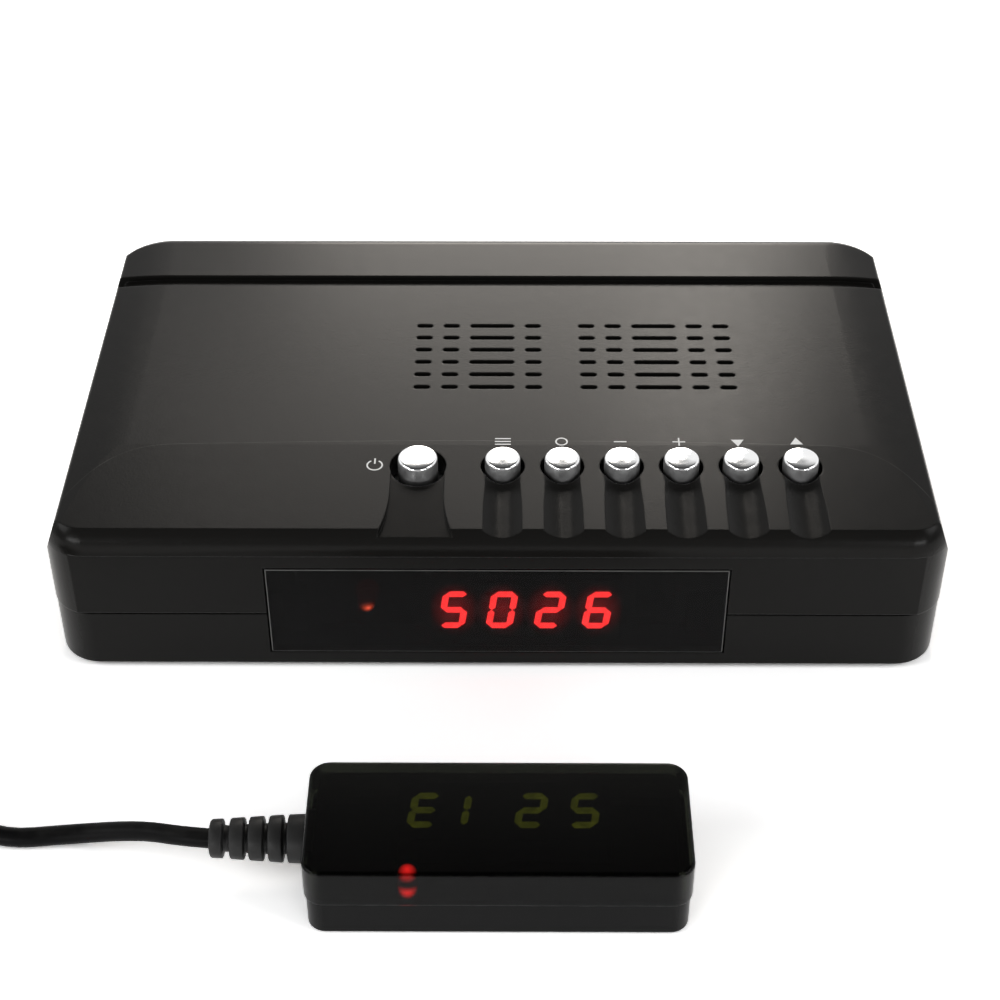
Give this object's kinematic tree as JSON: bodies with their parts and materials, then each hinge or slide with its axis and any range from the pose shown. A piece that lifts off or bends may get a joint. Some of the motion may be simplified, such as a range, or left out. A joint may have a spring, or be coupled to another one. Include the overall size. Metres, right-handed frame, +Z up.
{
  "type": "satellite television receiver",
  "caption": "Compact satellite TV receiver with smoked display window, top push buttons, vents, rear sockets and a wired infrared eye on a coiled lead.",
  "frame": {"origin": "on the surface that the feet stand on, under the middle of the housing", "axes": "+Z up, +Y towards the rear sockets, +X to the right as seen from the display window"},
  "size_m": [0.2156, 0.182, 0.0311],
  "materials": {
    "housing_black": "fine matte grain",
    "window_smoke": "polished, smoked",
    "eye_smoke": "polished, smoked",
    "eye_black": "polished",
    "button_chrome": "satin chrome on plastic",
    "switch_black": "moulded",
    "board_green": "solder mask",
    "rear_plate": "fine matte paint",
    "plated_steel": "tin plated",
    "plated_contact": "nickel plated",
    "screw_steel": "zinc plated",
    "jack_black": "moulded",
    "chip_black": "moulded",
    "sink_aluminium": "extruded",
    "capacitor_sleeve": "shrunk sleeve",
    "ribbon_white": "flat cable",
    "connector_white": "moulded",
    "foot_rubber": "soft",
    "relief_rubber": "moulded, matte",
    "cord_vinyl": "smooth vinyl",
    "tie_vinyl": "coated wire",
    "segment_red": "lit",
    "segment_off": "unlit",
    "segment_green": "lit",
    "display_black": "moulded",
    "led_red": "lit",
    "led_clear": "clear resin",
    "receiver_dark": "dark resin"
  },
  "bodies": {
    "housing": {"top_cover": "housing_black", "bottom_cover": "housing_black", "rear_panel": "rear_plate", "display_lens": "window_smoke", "key_switches": "switch_black", "key_board": "board_green", "case_screws": "screw_steel", "board_screws": "screw_steel", "feet": "foot_rubber", "main_board": "board_green", "front_board": "board_green", "led_display": "display_black", "status_led": "led_clear", "infrared_receiver": "receiver_dark", "board_header": "jack_black", "cable_sockets": "connector_white", "flat_cable": "ribbon_white", "tuner_can": "plated_steel", "antenna_connector": "plated_contact", "socket_tongues": "jack_black", "dc_jack": "jack_black", "dc_jack_pin": "plated_contact", "processor": "chip_black", "heat_sink": "sink_aluminium", "memory_chips": "chip_black", "capacitors": "capacitor_sleeve", "inductors": "chip_black", "eye_cover": "eye_smoke", "eye_base": "eye_black", "eye_board": "board_green", "eye_display": "display_black", "eye_segments": "segment_green", "eye_led": "led_red", "eye_receiver": "receiver_dark", "strain_relief": "relief_rubber", "eye_cord": "cord_vinyl", "eye_cord_coil": "cord_vinyl", "eye_plug": "cord_vinyl", "plug_pin": "plated_contact", "lit_segments": "segment_red", "dark_segments": "segment_off", "hdmi_socket": "plated_steel", "usb_socket": "plated_steel", "av_jack": "jack_black", "infrared_jack": "jack_black", "cord_tie": "tie_vinyl"},
    "power_key": {"power_button": "button_chrome", "power_plunger": "switch_black"},
    "menu_key": {"menu_button": "button_chrome", "menu_plunger": "switch_black"},
    "ok_key": {"ok_button": "button_chrome", "ok_plunger": "switch_black"},
    "volume_down_key": {"volume_down_button": "button_chrome", "volume_down_plunger": "switch_black"},
    "volume_up_key": {"volume_up_button": "button_chrome", "volume_up_plunger": "switch_black"},
    "channel_down_key": {"channel_down_button": "button_chrome", "channel_down_plunger": "switch_black"},
    "channel_up_key": {"channel_up_button": "button_chrome", "channel_up_plunger": "switch_black"}
  },
  "joints": [
    {"name": "power_press", "type": "slide", "parent": "housing", "child": "power_key", "axis": [0, 0, -1], "range_m": [0, 0.0005], "stiffness_N_per_m": 800, "springref_m": -0.0008},
    {"name": "menu_press", "type": "slide", "parent": "housing", "child": "menu_key", "axis": [0, 0, -1], "range_m": [0, 0.0005], "stiffness_N_per_m": 800, "springref_m": -0.0008},
    {"name": "ok_press", "type": "slide", "parent": "housing", "child": "ok_key", "axis": [0, 0, -1], "range_m": [0, 0.0005], "stiffness_N_per_m": 800, "springref_m": -0.0008},
    {"name": "volume_down_press", "type": "slide", "parent": "housing", "child": "volume_down_key", "axis": [0, 0, -1], "range_m": [0, 0.0005], "stiffness_N_per_m": 800, "springref_m": -0.0008},
    {"name": "volume_up_press", "type": "slide", "parent": "housing", "child": "volume_up_key", "axis": [0, 0, -1], "range_m": [0, 0.0005], "stiffness_N_per_m": 800, "springref_m": -0.0008},
    {"name": "channel_down_press", "type": "slide", "parent": "housing", "child": "channel_down_key", "axis": [0, 0, -1], "range_m": [0, 0.0005], "stiffness_N_per_m": 800, "springref_m": -0.0008},
    {"name": "channel_up_press", "type": "slide", "parent": "housing", "child": "channel_up_key", "axis": [0, 0, -1], "range_m": [0, 0.0005], "stiffness_N_per_m": 800, "springref_m": -0.0008}
  ]
}
